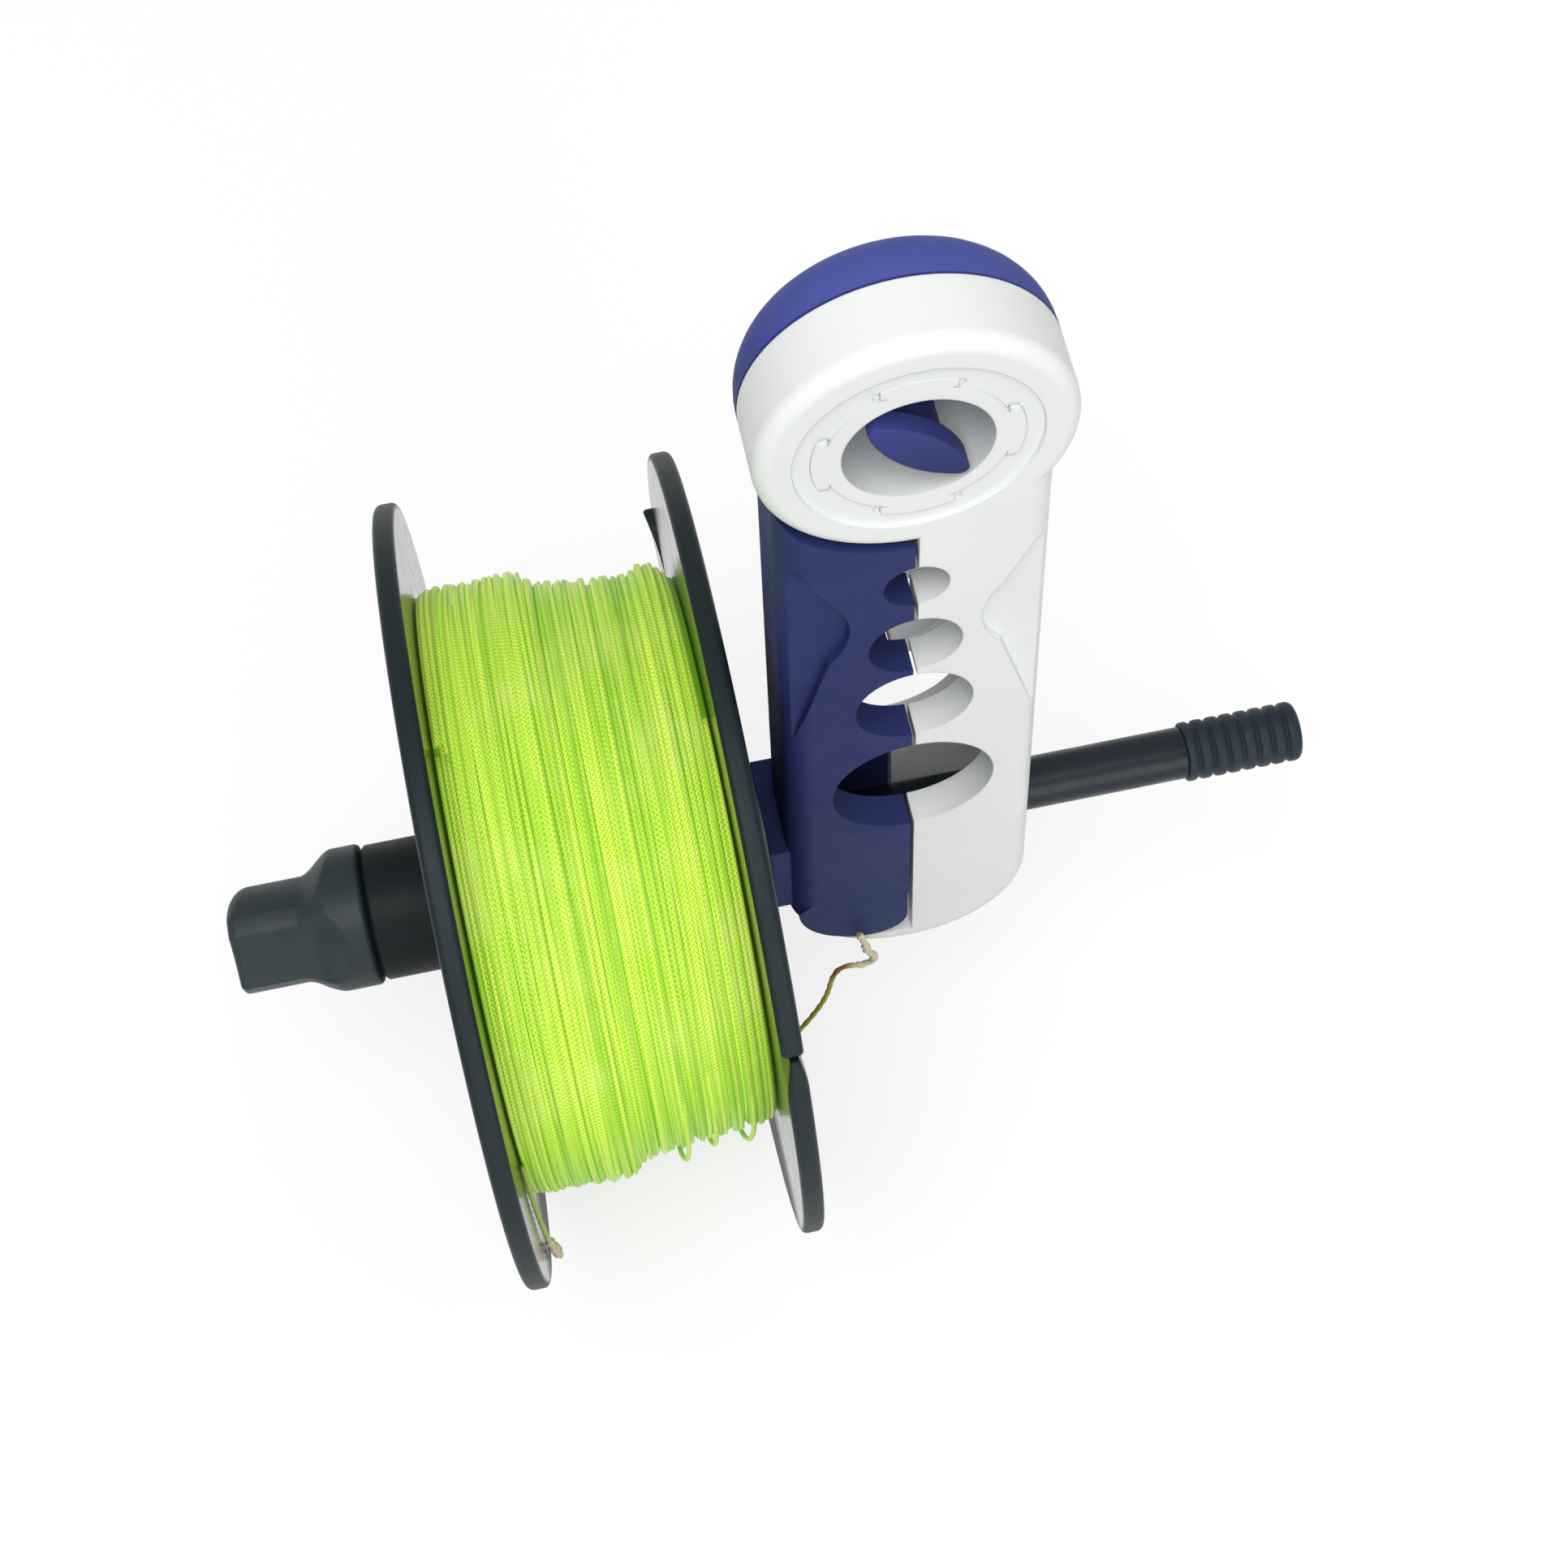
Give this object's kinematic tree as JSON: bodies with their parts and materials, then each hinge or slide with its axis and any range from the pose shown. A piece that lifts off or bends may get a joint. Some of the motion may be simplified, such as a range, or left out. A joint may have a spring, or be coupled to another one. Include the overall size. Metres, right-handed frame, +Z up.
{
  "type": "fishing_line_winder",
  "caption": "Clamp-on fishing line winder: two hinged plastic jaws with graduated rod notches, a spindle, a spool of braided line and a sprung tension knob.",
  "frame": {"origin": "centre of the middle rod notch, on the seam of the closed jaws and half way through the clamp's thickness", "axes": "+Z up along the jaws to the head, +X along the spindle to the rubber grip, -Y the front face with the white head disc"},
  "size_m": [0.1307, 0.095, 0.1488],
  "materials": {
    "blue_plastic": "satin moulded",
    "white_plastic": "satin moulded",
    "black_plastic": "satin moulded",
    "black_rod": "semi-gloss",
    "black_rubber": "matte",
    "line": "braided",
    "spring_steel": "bright wire",
    "brass_insert": "machined"
  },
  "bodies": {
    "clamp": {"blue_jaw": "blue_plastic", "jaw_spring": "spring_steel", "spindle_bush": "black_plastic", "thrust_washer": "white_plastic"},
    "white_half": {"white_jaw": "white_plastic", "pivot_hub": "white_plastic"},
    "spindle": {"spindle": "black_rod", "rubber_grip": "black_rubber", "spindle_clip": "spring_steel"},
    "spool": {"spool_flange_left": "black_plastic", "spool_flange_right": "black_plastic", "spool_core": "black_plastic", "line_winding": "line", "line_end_right": "line", "line_end_left": "line", "inner_cone": "black_plastic", "outer_cup": "black_plastic", "drag_spring": "spring_steel"},
    "knob_seat": {"spring_washer": "spring_steel"},
    "knob": {"tension_knob": "black_plastic", "knob_insert": "brass_insert"}
  },
  "joints": [
    {"name": "jaw_open", "type": "hinge", "parent": "clamp", "child": "white_half", "pos_m": [0, 0, 0.0344], "axis": [0, -1, 0], "range_deg": [0, 30], "stiffness_Nm_per_rad": 0.6, "springref_deg": -28.65, "deforming": ["jaw_spring"]},
    {"name": "spindle_spin", "type": "hinge", "parent": "clamp", "child": "spindle", "pos_m": [0, 0, -0.0513], "axis": [1, 0, 0], "continuous": true},
    {"name": "spool_spin", "type": "hinge", "parent": "spindle", "child": "spool", "pos_m": [-0.035, 0, -0.0513], "axis": [1, 0, 0], "continuous": true, "deforming": ["line_end_right"]},
    {"name": "seat_slide", "type": "slide", "parent": "spindle", "child": "knob_seat", "axis": [-1, 0, 0], "range_m": [0, 0.004]},
    {"name": "knob_turn", "type": "hinge", "parent": "knob_seat", "child": "knob", "pos_m": [-0.068, 0, -0.0513], "axis": [-1, 0, 0], "range_deg": [0, 1440]}
  ],
  "couplings": [
    {"joint": "knob_turn", "follows": "seat_slide", "rad_per_m": 6283.2}
  ]
}
